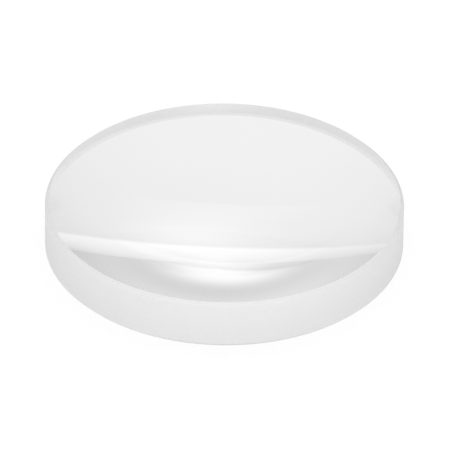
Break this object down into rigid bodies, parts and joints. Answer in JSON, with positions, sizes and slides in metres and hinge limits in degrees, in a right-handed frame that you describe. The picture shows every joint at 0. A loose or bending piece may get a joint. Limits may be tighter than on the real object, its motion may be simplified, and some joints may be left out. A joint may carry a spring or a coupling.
{
  "type": "biconvex lens",
  "caption": "Round biconvex glass lens: polished spherical faces on both sides of a finely ground cylindrical edge with narrow bevels.",
  "frame": {"origin": "centre of the lens: on its optical axis, midway between the vertices of the two polished faces", "axes": "+Z along the optical axis, up out of the upper face; X and Y lie across the lens, which is round, so their turn about Z is free"},
  "size_m": [0.025, 0.025, 0.006],
  "materials": {
    "crown_glass": "polished faces, finely ground edge and bevels"
  },
  "bodies": {
    "root": {"lens": "crown_glass"}
  },
  "joints": []
}
